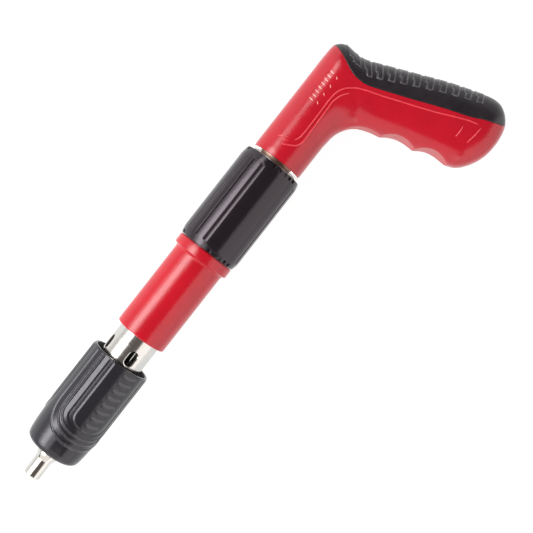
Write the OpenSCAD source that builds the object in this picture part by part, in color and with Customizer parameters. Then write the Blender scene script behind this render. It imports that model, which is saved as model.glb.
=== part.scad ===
// Inline push-driven fastener tool with a pistol grip.
//
// Frame: the barrel axis is X and the origin is the centre of the nozzle's front face.
// +X points forward out of the nozzle, +Y points toward the grip, and +Z is up with the
// tool lying on its right side, so z = 0 is the plane between the two handle shells.
//
// Stations: s is the distance behind the nozzle's front face, so x = -s.
// Turned pieces are drawn along local z = s and laid along the barrel by along_barrel(),
// which also turns local x to +Z and local y to +Y. Angles of pieces round the barrel are
// therefore counted from +Z toward +Y.
// Handle points are written [u, s], with u the row Y.

/* [Nose] */

// Radius of the nozzle's fastener bore
nozzle_bore_r = 3.2; // [2.6:0.05:3.4]
// Outer radius of the nozzle's front end
nozzle_tip_r = 5.7; // [5.2:0.1:6.4]
// Outer radius of the nozzle behind its cone
nozzle_shank_r = 7.1; // [6.8:0.05:7.3]
// Outer radius of the front cover
cover_r = 20.5; // [19.8:0.1:21.5]
// Station of the cover's open rear rim
cover_end = 92.3; // [88:0.1:93]
// Outer radius of the steel nose tube
nose_tube_r = 14.25; // [14.15:0.01:14.27]
// Width of each vent slot in the nose tube
vent_width = 6; // [4:0.5:8]
// Length of each vent slot, end to end
vent_length = 10; // [8.5:0.5:12]

/* [Barrel] */

// Outer radius of the red outer tube
outer_tube_r = 17.5; // [17:0.1:18.2]
// Outer radius of the outer tube's rear flange
outer_flange_r = 19.75; // [19:0.05:20.5]
// Outer radius of the twist sleeve
lock_sleeve_r = 21; // [20.4:0.1:22]
// Number of notches in each plain land of the twist sleeve, at each rim
rim_notches = 5; // [3:1:5]

/* [Handle] */

// Wall thickness of the handle shells
shell_wall = 3.2; // [2.4:0.1:4]
// Thickness of the rubber pad
pad_thickness = 1.8; // [1.2:0.1:2.2]
// Depth of the finger scallops
scallop_depth = 3.3; // [0.5:0.1:4]
// Pitch of the finger scallops, along Y
finger_pitch = 21.75; // [20:0.25:24]

/* [Mechanism] */

// Wire diameter of the main spring
main_wire = 2.4; // [1.6:0.1:2.5]
// Coils of the main spring
main_coils = 19; // [12:1:24]
// Wire diameter of the return spring
return_wire = 1.6; // [1:0.1:1.6]
// Coils of the return spring
return_coils = 8; // [5:1:9]

/* [Hidden] */

round_fn = 96;

red = [0.80, 0.07, 0.11];
black = [0.10, 0.10, 0.11];
nickel = [0.80, 0.78, 0.74];
steel = [0.55, 0.56, 0.58];
rubber = [0.07, 0.07, 0.08];
nylon = [0.88, 0.86, 0.78];

cover_base_r = cover_r - 0.45;
vent_s = 98.05;
vent_angle = 22.3;
ball_s = 190;
ball_track_r = 11.35;
stop_pin_s = 226;
lock_turn_deg = 60;
pin_half_deg = 5.6;
land_centres = [28, 148, 268];
rib_centres = [88, 208, 328];
rib_grooves = [-18, 0, 18];
screw_points = [[25, 313], [45, 325], [68, 334], [90, 343]];

// Handle control rows: back point [u, s], front point [u, s], half thickness
// and the share of the chord, from the back, that the pad covers.
rows = [
    [-17.5, 251.1, 17.5, 251.1, 17.5, 0],
    [-17.5, 270, 17.5, 265, 17.5, 0],
    [-17.5, 290, 17.5, 276, 17.5, 0],
    [-17.5, 308, 18.2, 284, 17.5, 0],
    [-17.5, 322, 20.3, 290.6, 17.4, 0],
    [-16.6, 331, 23.9, 295, 17.2, 0.02],
    [-11.5, 335.6, 27.5, 297.9, 17, 0.34],
    [-3, 335.3, 30.5, 299.5, 17, 0.395],
    [5, 335.9, 33.5, 300.8, 17, 0.405],
    [18.4, 341.3, 38.5, 302.6, 17, 0.415],
    [36.5, 349, 51.5, 306.7, 17, 0.415],
    [54.7, 356.7, 69.7, 311.4, 17.2, 0.395],
    [72.8, 363, 85.5, 315.2, 17.4, 0.38],
    [82, 365.8, 92.5, 318.6, 17, 0.365],
    [89, 365.7, 98, 325.5, 15.8, 0.335],
    [95, 362.3, 101.3, 333.5, 13, 0.25],
    [99.5, 357, 102.3, 341.5, 8, 0.02],
    [101.6, 351.5, 102.2, 347, 2.5, 0]
];
last_row = len(rows) - 1;
arc_steps = 15;
loft_stations = concat([0, 1, 2, 3], [for (q = [3.5 : 0.5 : 8]) q], [for (q = [8.25 : 0.25 : 14]) q],
    [for (q = [14.5 : 0.5 : last_row]) q]);
cavity_stations = [for (q = [8.8 : 0.4 : 15.2]) q];
pad_stations = concat([5, 5.1, 5.2, 5.35, 5.5, 5.75, 6, 6.3], [for (q = [6.65 : 0.45 : 15]) q], [15.3, 15.6, 15.8, 16]);
pad_steps = 10;
cusp_u = [20.25, 42, 42 + finger_pitch, 42 + 2 * finger_pitch];

// ---------- helpers ----------

module along_barrel() {
    rotate([0, -90, 0]) children();
}

// A solid of revolution about the barrel axis from [r, s] points.
module turned(profile) {
    along_barrel() rotate_extrude($fn = round_fn) polygon(profile);
}

module band(r_in, r_out, s0, s1) {
    turned([[r_in, s0], [r_out, s0], [r_out, s1], [r_in, s1]]);
}

module rod(r, s0, s1) {
    turned([[0, s0], [r, s0], [r, s1], [0, s1]]);
}

// Part of a band, from angle a0 over a width in degrees.
module sector_band(r_in, r_out, s0, s1, a0, width) {
    along_barrel() rotate([0, 0, a0]) rotate_extrude(angle = width, $fn = round_fn)
        polygon([[r_in, s0], [r_out, s0], [r_out, s1], [r_in, s1]]);
}

module torus(r_mid, r_wire, s) {
    along_barrel() translate([0, 0, s]) rotate_extrude($fn = round_fn)
        translate([r_mid, 0]) circle(r = r_wire, $fn = 24);
}

// A hole or pin across the barrel wall, in local barrel directions.
module radial_rod(r, r0, r1, s, angle) {
    along_barrel() rotate([0, 0, angle]) translate([r0, 0, s])
        rotate([0, 90, 0]) cylinder(r = r, h = r1 - r0, $fn = 48);
}

// A closed solid from equal rings of points, each with an even number of points.
// The caps pair point j with the point as far from the ring's end.
module ring_solid(rings) {
    count = len(rings);
    width = len(rings[0]);
    points = [for (ring = rings, p = ring) p];
    end = (count - 1) * width;
    sides = [
        for (i = [0 : count - 2], j = [0 : width - 1])
            let (k = (j + 1) % width, p = i * width, q = p + width)
            each [[p + j, q + j, q + k], [p + j, q + k, p + k]]
    ];
    caps = [
        for (j = [0 : width / 2 - 2])
            let (a = width - 1 - j, b = width - 2 - j)
            each [[j, j + 1, a], [j + 1, b, a],
                [end + j, end + a, end + j + 1], [end + j + 1, end + a, end + b]]
    ];
    polyhedron(points = points, faces = concat(sides, caps), convexity = 10);
}

// A closed coil spring with one dead turn at each end.
module coil_spring(r_mid, wire, s0, s1, coils, seg, sides) {
    span = s1 - s0 - wire;
    dead = wire * 0.98;
    live = (span - 2 * dead) / (coils - 2);
    function rise(t) = t < 1 ? t * dead
        : t > coils - 1 ? span - (coils - t) * dead
        : dead + live * (t - 1);
    along_barrel() ring_solid([
        for (i = [0 : coils * seg])
            let (t = i / seg)
            [for (j = [0 : sides - 1])
                let (b = -360 * j / sides, r = r_mid + wire / 2 * cos(b))
                [r * cos(360 * t), r * sin(360 * t), s0 + wire / 2 + rise(t) + wire / 2 * sin(b)]]
    ]);
}

// ---------- handle surface ----------

function cubic(a, b, c, d, t) =
    0.5 * (2 * b + (c - a) * t + (2 * a - 5 * b + 4 * c - d) * t * t + (3 * b - a - 3 * c + d) * t * t * t);

// A control row at any station between two rows.
function row_at(q) =
    let (i = min(floor(q), last_row - 1), t = q - i)
    i < 3
        ? [for (k = [0 : 5]) rows[i][k] + (rows[i + 1][k] - rows[i][k]) * t]
        : [for (k = [0 : 5]) cubic(rows[max(i - 1, 0)][k], rows[i][k], rows[i + 1][k],
            rows[min(i + 2, last_row)][k], t)];

// Superellipse exponent: round on the barrel, squarer on the grip.
function squareness(q) = 2 + 0.4 * max(0, min(1, (q - 4) / 5));

// How far the front edge is scooped out at u, with a cusp between fingers.
function scallop(u) =
    u <= cusp_u[0] || u >= cusp_u[3] ? 0
        : let (k = u < cusp_u[1] ? 0 : u < cusp_u[2] ? 1 : 2,
            t = (u - cusp_u[k]) / (cusp_u[k + 1] - cusp_u[k]))
        scallop_depth * (k == 0 ? 0.45 : 1) * 4 * t * (1 - t);

// The row with its front point scooped in along the chord.
function scooped(q) =
    let (r = row_at(q), dx = r[0] - r[2], ds = r[1] - r[3], n = norm([dx, ds]), d = scallop(r[2]))
    [r[0], r[1], r[2] + d * dx / n, r[3] + d * ds / n, r[4], max(r[5], 0.01)];

// A surface point at station q and angle phi (0 at the back, 180 at the front),
// moved in from the surface by inset.
function skin(q, phi, inset = 0) =
    let (r = scooped(q), p = squareness(q),
        dx = r[0] - r[2], ds = r[1] - r[3], n = norm([dx, ds]),
        a = n / 2 - inset, t = r[4] - inset,
        c = cos(phi), v = sin(phi),
        along = sign(c) * a * pow(abs(c), 2 / p),
        z = sign(v) * t * pow(abs(v), 2 / p))
    [-((r[1] + r[3]) / 2 + along * ds / n), (r[0] + r[2]) / 2 + along * dx / n, z];

// Angle at which the pad ends on each side.
function pad_angle(q) = acos(pow(1 - 2 * scooped(q)[5], squareness(q) / 2));

// Half of the handle's volume, on the +Z side or, mirrored, on the -Z side.
module half_loft(stations, inset) {
    ring_solid([
        for (q = stations)
            [for (j = [0 : arc_steps]) skin(q, 180 * j / arc_steps, inset)]
    ]);
}

// The strip of the handle's back that the pad fills.
module pad_solid(stations, inner, outer, widen) {
    ring_solid([
        for (q = stations)
            let (b = pad_angle(q) + widen)
            concat(
                [for (j = [0 : pad_steps]) skin(q, -b + 2 * b * j / pad_steps, outer)],
                [for (j = [0 : pad_steps]) skin(q, b - 2 * b * j / pad_steps, inner)])
    ]);
}

// ---------- nose ----------

module nozzle() color(nickel) difference() {
    union() {
        turned([
            [0, 0], [nozzle_tip_r - 0.6, 0], [nozzle_tip_r, 0.6], [nozzle_tip_r, 13],
            [nozzle_shank_r, 16], [nozzle_shank_r, 24.2], [9.5, 24.2], [9.5, 30],
            [6.4, 30], [6.4, 42], [0, 42]
        ]);
        along_barrel() translate([0, 0, 25]) cylinder(r = 10.5, h = 5, $fn = 6);
    }
    rod(nozzle_bore_r, -1, 32);
    rod(nozzle_bore_r + 0.9, 32, 34);
    rod(nozzle_bore_r - 0.1, 33, 43);
}

module cover_ridge(angle, s_end) {
    along_barrel() rotate([0, 0, angle]) translate([18, -0.6, s_end])
        cube([cover_r - 18, 1.2, cover_end - 3.5 - s_end]);
}

module front_cover() color(black) difference() {
    union() {
        turned([
            [0, 20.9], [16.4, 20.9], [17.2, 21.3], [18.3, 22.8], [19, 25], [19.4, 28],
            [cover_base_r - 0.4, 33], [cover_base_r, 40], [cover_base_r, 87],
            [cover_r, 88.5], [cover_r, cover_end - 0.5], [cover_r - 0.5, cover_end], [0, cover_end]
        ]);
        for (panel = [22, 202], side = [-1, 1]) {
            cover_ridge(panel + side * 25, 46);
            cover_ridge(panel + side * 38, 43);
            cover_ridge(panel + side * 51, 40);
            cover_ridge(panel + side * 58, 38);
            cover_ridge(panel + side * 72, 36);
        }
    }
    rod(7.4, 20, 25);
    rod(nose_tube_r + 0.1, 24, 62);
    turned([[0, 61], [nose_tube_r + 0.1, 61], [nose_tube_r + 0.1, 62], [18.5, 66], [18.5, 93], [0, 93]]);
    band(14, 15, 49.2, 50.8);
}

module nose_plug() color(steel) difference() {
    union() {
        rod(nose_tube_r - 0.05, 30, 34);
        rod(12.48, 34, 48);
    }
    rod(6.42, 29, 42);
    rod(4, 41, 49);
}

module buffer_washers() color(rubber) {
    for (k = [0 : 2]) band(4, 12.3, 48 + 3 * k, 50.9 + 3 * k);
}

module vent_slot(angle) {
    along_barrel() rotate([0, 0, angle]) translate([8, 0, vent_s]) rotate([0, 90, 0])
        linear_extrude(height = 10) union() {
            square([vent_length - vent_width, vent_width], center = true);
            for (side = [-1, 1])
                translate([side * (vent_length - vent_width) / 2, 0]) circle(d = vent_width, $fn = 48);
        }
}

module nose_tube() color(nickel) difference() {
    turned([
        [12.5, 34], [nose_tube_r, 34], [nose_tube_r, 49.2], [13.45, 49.2], [13.45, 50.8],
        [nose_tube_r, 50.8], [nose_tube_r, 124], [15.4, 124], [15.4, 128], [12.5, 128]
    ]);
    for (k = [0 : 3]) vent_slot(vent_angle + 90 * k);
}

module cover_o_ring() color(rubber) torus(14.2, 0.74, 50);

module carrier_sleeve() color(steel) difference() {
    turned([
        [10.2, 114], [12.48, 114], [12.48, 128.05], [13.4, 128.05], [13.4, 240],
        [11.15, 240], [11.15, 150], [10.2, 150], [10.2, 144.5], [11.3, 144.5], [11.3, 143.1], [10.2, 143.1]
    ]);
    for (k = [0 : 2]) radial_rod(2.05, 8, 15, ball_s, 120 * k);
}

module latch_balls() color(nickel) {
    for (k = [0 : 2])
        along_barrel() rotate([0, 0, 120 * k]) translate([ball_track_r, 0, ball_s]) sphere(r = 2, $fn = 32);
}

module pin_stop_ring() color(steel) sector_band(8.6, 11.25, 143.2, 144.4, 20, 320);

module drive_pin() color(steel) difference() {
    turned([
        [0, 36.5], [2.6, 36.5], [3.05, 37], [3.05, 92], [5, 94], [5, 130],
        [9.4, 130], [9.9, 130.5], [9.9, 142], [0, 142]
    ]);
    band(9.15, 11, 135.1, 136.9);
}

module pin_ring() color(rubber) torus(9.65, 0.48, 136);

module hammer() color(steel) difference() {
    turned([
        [0, 172], [7.4, 172], [8, 172.6], [8, 184], [10.4, 184], [11.05, 184.7],
        [11.05, 235], [9.3, 235], [9.3, 215], [0, 215]
    ]);
    torus(ball_track_r, 2.05, ball_s);
    band(10.35, 12, 203, 206);
    band(10.35, 12, 226, 229);
}

module hammer_rings() color(nylon) {
    for (s = [203.05, 226.05]) band(10.36, 11.12, s, s + 2.9);
}

// ---------- outer tube and springs ----------

module outer_tube() color(red) difference() {
    union() {
        turned([
            [14.6, 111.9], [outer_tube_r - 0.9, 111.9], [outer_tube_r, 112.8], [outer_tube_r, 171],
            [outer_tube_r + 0.6, 172.6], [outer_flange_r - 0.5, 173.2], [outer_flange_r, 173.9],
            [outer_flange_r, 178.7], [outer_flange_r - 0.6, 179.3], [17, 179.3], [17, 186],
            [14.6, 186]
        ]);
        for (k = [0 : 2]) sector_band(16, 18.1, 183, 186, 120 * k - 25, 50);
    }
    rod(15.5, 113.4, 187);
}

module front_bush() color(nylon) band(nose_tube_r + 0.05, 15.48, 113.4, 124);

module return_spring() color(steel) coil_spring(14.45, return_wire, 128.02, 161.98, return_coils, 20, 6);

module spring_washer() color(steel) band(13.5, 15.4, 162, 163);

// ---------- core ----------

module core_tube() color(steel) difference() {
    turned([
        [13.5, 163], [15.48, 163], [15.48, 186], [17, 186], [17, 195.1], [15.55, 195.1], [15.55, 196.9],
        [17, 196.9], [17, 239.1], [15.55, 239.1], [15.55, 240.9], [17, 240.9], [17, 248.4],
        [15, 248.4], [15, 298], [14.2, 298], [14.2, 302], [15, 302], [15, 322],
        [12, 322], [12, 262], [13.5, 262]
    ]);
    band(13, 15.2, 205.5, 210.5);
    radial_rod(1.5, 12, 18, stop_pin_s, 0);
}

module stop_pin() color(steel) radial_rod(1.5, 13.9, 18.2, stop_pin_s, 0);

module sleeve_o_rings() color(rubber) {
    for (s = [196, 240]) torus(16.3, 0.73, s);
}

module travel_stop_ring() color(rubber) band(11.9, 13.45, 258.5, 262);

module main_spring() color(steel) coil_spring(7.8, main_wire, 215.02, 311.98, main_coils, 16, 6);

module spring_guide() color(steel) {
    rod(5, 262, 312);
    rod(11.9, 312, 316);
}

module rear_plug() color(steel) difference() {
    rod(11.95, 316, 322);
    along_barrel() translate([0, 0, 318]) cylinder(r = 5, h = 7, $fn = 6);
}

// ---------- twist sleeve ----------

module lock_ring() color(nylon) difference() {
    rod(19.1, 180, 247.8);
    rod(17.05, 179, 249);
    rod(18.4, 182.6, 187);
    for (k = [0 : 2]) sector_band(16, 18.25, 179, 183, 120 * k + 30, 60);
    sector_band(16, 18.3, 224.2, 227.8, -pin_half_deg - lock_turn_deg, lock_turn_deg + 2 * pin_half_deg);
}

module sleeve_groove(angle) {
    along_barrel() rotate([0, 0, angle]) translate([lock_sleeve_r - 0.7, -1.1, 185])
        cube([2, 2.2, 58]);
}

module rim_notch(angle, s) {
    along_barrel() rotate([0, 0, angle]) translate([lock_sleeve_r - 1.7, -0.9, s])
        cube([3, 1.8, 2]);
}

module lock_sleeve() color(black) difference() {
    turned([
        [19.12, 179.8], [19.5, 179.8], [19.9, 180.2], [20.5, 182.6], [lock_sleeve_r, 185.4],
        [lock_sleeve_r, 242.4], [20.5, 245.2], [19.9, 247.6], [19.5, 248], [19.12, 248]
    ]);
    for (zone = rib_centres, a = rib_grooves) sleeve_groove(zone + a);
    for (land = land_centres, k = [0 : rim_notches - 1]) {
        angle = land + 12.5 * (k - (rim_notches - 1) / 2);
        rim_notch(angle, 181.6);
        rim_notch(angle, 244.2);
    }
}

module collar_ring() color(nickel)
    turned([[15.02, 248.4], [17.5, 248.4], [17.5, 251.05], [16.3, 251.05], [16.3, 249.1], [15.02, 249.1]]);

// ---------- handle ----------

module screw_bosses(r, z0, z1) {
    for (p = screw_points) translate([-p[1], p[0], z0]) cylinder(r = r, h = z1 - z0, $fn = 32);
}

// The left half shell before its screw holes; the right one is its mirror image.
module blank_shell(boss_r) difference() {
    union() {
        half_loft(loft_stations, 0);
        sector_band(14.5, 16.2, 249.15, 252, -90, 180);
    }
    rod(15.05, 248, 298.2);
    rod(14.3, 298, 302);
    rod(15.05, 301.8, 322.5);
    difference() {
        half_loft(cavity_stations, shell_wall);
        screw_bosses(boss_r, -1, 20);
    }
    pad_solid(concat([4.9], pad_stations, [16.1]), pad_thickness + 0.25, -1, 1.2);
}

module handle_shell_left() color(red) difference() {
    blank_shell(4);
    screw_bosses(1.7, -1, 12);
}

module handle_shell_right() color(red) difference() {
    mirror([0, 0, 1]) blank_shell(5.6);
    screw_bosses(2.2, -12, 1);
    screw_bosses(4, -25, -10);
}

module grip_pad() color(rubber) pad_solid(pad_stations, pad_thickness, 0, 0);

module handle_screws() color(steel) difference() {
    union() {
        screw_bosses(3.6, -12.9, -10);
        screw_bosses(1.68, -10.5, 11);
    }
    for (p = screw_points, turn = [0, 90])
        translate([-p[1], p[0], -12.2]) rotate([0, 0, turn]) cube([4, 0.8, 2], center = true);
}

nozzle();
front_cover();
nose_plug();
buffer_washers();
nose_tube();
cover_o_ring();
carrier_sleeve();
latch_balls();
pin_stop_ring();
drive_pin();
pin_ring();
hammer();
hammer_rings();
outer_tube();
front_bush();
return_spring();
spring_washer();
core_tube();
stop_pin();
sleeve_o_rings();
travel_stop_ring();
lock_ring();
lock_sleeve();
collar_ring();
main_spring();
spring_guide();
rear_plug();
handle_shell_left();
handle_shell_right();
grip_pad();
handle_screws();
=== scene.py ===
"""Looks of an inline push-driven fastener tool with a pistol grip, lying on its side.

The frame is the CAD's: the barrel axis is X with the nozzle's face at the origin, +Y points
toward the grip and +Z is up. A station s is the distance behind the nozzle's face, so x = -s,
and u is the row Y. Angles round the barrel run from +Z toward +Y. Lengths are in millimetres
and angles in degrees, except that the camera, the lights and the floor are placed in metres.
"""

import math

import bmesh
import bpy
import numpy as np
from mathutils import Matrix, Vector
from mathutils.bvhtree import BVHTree


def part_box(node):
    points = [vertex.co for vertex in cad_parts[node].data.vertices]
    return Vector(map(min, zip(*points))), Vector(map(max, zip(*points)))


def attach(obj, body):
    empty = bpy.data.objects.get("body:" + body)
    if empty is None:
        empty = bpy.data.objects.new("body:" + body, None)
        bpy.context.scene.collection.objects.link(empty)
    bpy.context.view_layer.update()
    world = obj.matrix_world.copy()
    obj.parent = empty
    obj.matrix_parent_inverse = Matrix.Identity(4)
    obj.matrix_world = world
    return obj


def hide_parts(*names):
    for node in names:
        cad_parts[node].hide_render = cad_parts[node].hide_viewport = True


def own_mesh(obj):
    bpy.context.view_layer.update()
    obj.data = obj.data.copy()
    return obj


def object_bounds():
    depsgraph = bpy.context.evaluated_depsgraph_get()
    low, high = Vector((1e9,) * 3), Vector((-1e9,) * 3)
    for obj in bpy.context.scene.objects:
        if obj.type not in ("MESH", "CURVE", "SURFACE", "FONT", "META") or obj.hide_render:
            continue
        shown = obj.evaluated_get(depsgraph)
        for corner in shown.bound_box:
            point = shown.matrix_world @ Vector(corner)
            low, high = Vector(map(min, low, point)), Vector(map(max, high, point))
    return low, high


MM = 0.001

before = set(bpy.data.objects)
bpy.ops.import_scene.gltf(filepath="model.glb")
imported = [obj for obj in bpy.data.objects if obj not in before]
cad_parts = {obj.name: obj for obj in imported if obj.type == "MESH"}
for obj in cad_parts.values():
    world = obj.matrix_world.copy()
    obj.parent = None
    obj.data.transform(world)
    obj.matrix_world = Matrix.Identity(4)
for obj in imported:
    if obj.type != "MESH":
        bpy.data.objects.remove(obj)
cad_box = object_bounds()


# ---------------------------------------------------------------- frame and mesh helpers


def ends(node):
    """A CAD node's front and rear stations."""
    low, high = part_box(node)
    return round(-high[0] / MM, 2), round(-low[0] / MM, 2)


def place(r, angle, s):
    """Row-frame points, in metres, at radius r, angle in radians and station s."""
    r, angle, s = np.broadcast_arrays(r, angle, s)
    return np.stack([-s, r * np.sin(angle), r * np.cos(angle)], axis=-1) * MM


def link(name, data):
    """A new object in the scene, with its mesh, camera or light."""
    new = bpy.data.objects.new(name, data)
    bpy.context.scene.collection.objects.link(new)
    return new


def dress(piece, material, body, node=None):
    """Give a piece its material and its body, and hide the node it stands for."""
    piece.data.materials.append(material)
    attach(piece, body)
    if node:
        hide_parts(node)
    return piece


def further_material(piece, material, chosen):
    """Give the faces for which chosen, a list of booleans in face order, holds one more material."""
    piece.data.materials.append(material)
    last = len(piece.data.materials) - 1
    for face, here in zip(piece.data.polygons, chosen):
        if here:
            face.material_index = last


def crease(mesh, degrees):
    """Smooth shading with sharp edges where faces meet at more than the angle, facing outward."""
    bm = bmesh.new()
    bm.from_mesh(mesh)
    bmesh.ops.recalc_face_normals(bm, faces=bm.faces)
    limit = math.radians(degrees)
    for face in bm.faces:
        face.smooth = True
    for edge in bm.edges:
        if len(edge.link_faces) == 2 and edge.calc_face_angle() > limit:
            edge.smooth = False
    bm.to_mesh(mesh)
    bm.free()


def bridge(bm, loops):
    """Quads between closed loops of vertices, from each loop to the next."""
    for first, second in zip(loops, loops[1:]):
        for k in range(len(first)):
            m = (k + 1) % len(first)
            bm.faces.new((first[k], first[m], second[m], second[k]))


def mesh_from(bm, name, crease_deg):
    """The creased mesh of a bmesh, which it frees."""
    mesh = bpy.data.meshes.new(name)
    bm.to_mesh(mesh)
    bm.free()
    crease(mesh, crease_deg)
    return mesh


def grid_mesh(name, points, crease_deg, ring=False):
    """A mesh from an array of points (rows, columns, 3) in which each row is a closed loop.

    In a ring the last row joins the first. Otherwise the first and last loops are zipped shut.
    """
    rows, columns = points.shape[:2]
    index = np.arange(rows * columns).reshape(rows, columns)
    loops = np.vstack([index, index[:1]]) if ring else index
    loops = np.hstack([loops, loops[:, :1]])
    quads = np.stack([loops[:-1, :-1], loops[1:, :-1], loops[1:, 1:], loops[:-1, 1:]], axis=-1)
    faces = quads.reshape(-1, 4).tolist()
    if not ring:
        for end in (index[0].tolist(), index[-1].tolist()):
            for j in range(columns // 2 - 1):
                faces.append([end[j], end[j + 1], end[columns - 2 - j], end[columns - 1 - j]])
    mesh = bpy.data.meshes.new(name)
    mesh.from_pydata(points.reshape(-1, 3).tolist(), [], faces)
    crease(mesh, crease_deg)
    return mesh


def lathe(name, profile, turns, crease_deg, relief=None):
    """A closed solid of revolution from a profile of (r, s) rows.

    With a relief, a function of angle and station that adds to the radius, each row also has the
    share of the relief that it takes.
    """
    profile = np.asarray(profile, float)
    angle = np.arange(turns) * 2 * np.pi / turns
    a = angle[:, None] + np.zeros(len(profile))
    s = profile[:, 1] + np.zeros((turns, 1))
    r = profile[:, 0] + np.zeros((turns, 1))
    if relief is not None:
        r = r + profile[:, 2] * relief(np.degrees(a), s)
    return grid_mesh(name, place(r, a, s), crease_deg, ring=True)


def catmull(table, t):
    """Catmull-Rom interpolation of table rows at the positions t, counted in rows."""
    table = np.asarray(table, float)
    t = np.asarray(t, float)
    last = len(table) - 1
    i = np.clip(np.floor(t).astype(int), 0, last - 1)
    f = (t - i)[..., None]
    a, b = table[np.maximum(i - 1, 0)], table[i]
    c, d = table[i + 1], table[np.minimum(i + 2, last)]
    return 0.5 * (2 * b + (c - a) * f + (2 * a - 5 * b + 4 * c - d) * f**2 + (3 * b - a - 3 * c + d) * f**3)


def dense(table, steps):
    """A smooth path through the table's points with the given steps between two of them."""
    count = (len(table) - 1) * steps
    return catmull(table, np.arange(count + 1) / steps)


def bead(distance, half_width, height):
    """A rounded ridge (or groove, with a negative height) round a line."""
    x = np.clip(np.abs(distance) / half_width, 0, 1)
    return height * (1 - x**2) ** 2


def step(x, low, high):
    """0 below low, 1 above high and smooth between."""
    t = np.clip((x - low) / (high - low), 0, 1)
    return t * t * (3 - 2 * t)


def wrap(degrees):
    """The same direction, between -180 and 180."""
    return (degrees + 180) % 360 - 180


# ---------------------------------------------------------------- materials


class Nodes:
    """A material's node tree with short calls for the nodes used here."""

    def __init__(self, name):
        self.material = bpy.data.materials.new(name)
        self.material.use_nodes = True
        self.tree = self.material.node_tree
        self.shader = self.tree.nodes["Principled BSDF"]
        self.coords = self.tree.nodes.new("ShaderNodeTexCoord")

    def join(self, output, socket):
        self.tree.links.new(output, socket)

    def noise(self, scale, detail, roughness=0.5, stretch=(1, 1, 1)):
        """Noise in object coordinates, which stretch scales along the barrel's X, Y and Z."""
        mapping = self.tree.nodes.new("ShaderNodeMapping")
        mapping.inputs["Scale"].default_value = stretch
        self.join(self.coords.outputs["Object"], mapping.inputs["Vector"])
        noise = self.tree.nodes.new("ShaderNodeTexNoise")
        noise.inputs["Scale"].default_value = scale
        noise.inputs["Detail"].default_value = detail
        noise.inputs["Roughness"].default_value = roughness
        self.join(mapping.outputs["Vector"], noise.inputs["Vector"])
        return noise.outputs["Fac"]

    def colour(self, factor, stops):
        """The base colour: a ramp over factor from two (position, colour) stops."""
        ramp = self.tree.nodes.new("ShaderNodeValToRGB")
        for element, (position, colour) in zip(ramp.color_ramp.elements, stops):
            element.position = position
            element.color = (*colour, 1)
        self.join(factor, ramp.inputs["Fac"])
        self.join(ramp.outputs["Color"], self.shader.inputs["Base Color"])

    def roughness(self, factor, low, high):
        """The roughness, from low to high over the middle of factor's range."""
        remap = self.tree.nodes.new("ShaderNodeMapRange")
        remap.inputs["From Min"].default_value = 0.3
        remap.inputs["From Max"].default_value = 0.7
        remap.inputs["To Min"].default_value = low
        remap.inputs["To Max"].default_value = high
        self.join(factor, remap.inputs["Value"])
        self.join(remap.outputs["Result"], self.shader.inputs["Roughness"])

    def bump(self, layers):
        """The normal, from a stack of bumps with (height, strength, distance in metres) layers."""
        normal = None
        for height, strength, distance in layers:
            node = self.tree.nodes.new("ShaderNodeBump")
            node.inputs["Strength"].default_value = strength
            node.inputs["Distance"].default_value = distance
            self.join(height, node.inputs["Height"])
            if normal is not None:
                self.join(normal, node.inputs["Normal"])
            normal = node.outputs["Normal"]
        self.join(normal, self.shader.inputs["Normal"])

    def set(self, **values):
        for key, value in values.items():
            self.shader.inputs[key.replace("_", " ")].default_value = value


def tones(colour, dark, light):
    """A colour ramp's two stops: the colour darkened and lightened, from (position, factor) pairs."""
    return [(position, tuple(channel * factor for channel in colour)) for position, factor in (dark, light)]


# In the three makers below, low and high are the limits of a material's roughness.


def moulded_plastic(name, colour, low, high, grain, tint=(1, 1, 1)):
    """Injection-moulded plastic: slight mottling, fine grain, faint flow and handling marks."""
    n = Nodes(name)
    mottle = n.noise(scale=38, detail=5, roughness=0.6)
    wear = n.noise(scale=160, detail=6, roughness=0.65)
    fine = n.noise(scale=1100, detail=3, roughness=0.6)
    swirl = n.noise(scale=14, detail=2, roughness=0.4)
    n.colour(mottle, tones(colour, (0.30, 0.90), (0.70, 1.08)))
    n.roughness(wear, low, high)
    n.bump([(swirl, 0.15, 0.0006), (fine, grain, 0.00028)])
    n.set(IOR=1.5, Specular_Tint=(*tint, 1))
    return n.material


def plated_steel(name, colour, low, high):
    """Bright plated steel with faint turning marks and a few darker patches."""
    n = Nodes(name)
    patches = n.noise(scale=45, detail=4, roughness=0.55)
    lines = n.noise(scale=2400, detail=3, roughness=0.6, stretch=(1, 0.02, 0.02))
    n.colour(patches, tones(colour, (0.32, 0.90), (0.68, 1.04)))
    n.roughness(lines, low, high)
    n.bump([(lines, 0.10, 0.00003)])
    n.set(Metallic=1.0)
    return n.material


def moulded_rubber(name, colour, low, high):
    """Soft overmould: finely pebbled, a little dust in its tone."""
    n = Nodes(name)
    dust = n.noise(scale=60, detail=5, roughness=0.6)
    wear = n.noise(scale=220, detail=4, roughness=0.6)
    n.colour(dust, tones(colour, (0.30, 0.75), (0.72, 1.35)))
    n.roughness(wear, low, high)
    pebble = n.tree.nodes.new("ShaderNodeTexVoronoi")
    pebble.inputs["Scale"].default_value = 1500
    n.join(n.coords.outputs["Object"], pebble.inputs["Vector"])
    n.bump([(pebble.outputs["Distance"], 0.25, 0.00005)])
    n.set(IOR=1.5)
    return n.material


COOL_GLOSS = (0.93, 0.93, 1.0)
PURPLE_GLOSS = (0.99, 0.89, 0.98)

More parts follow.
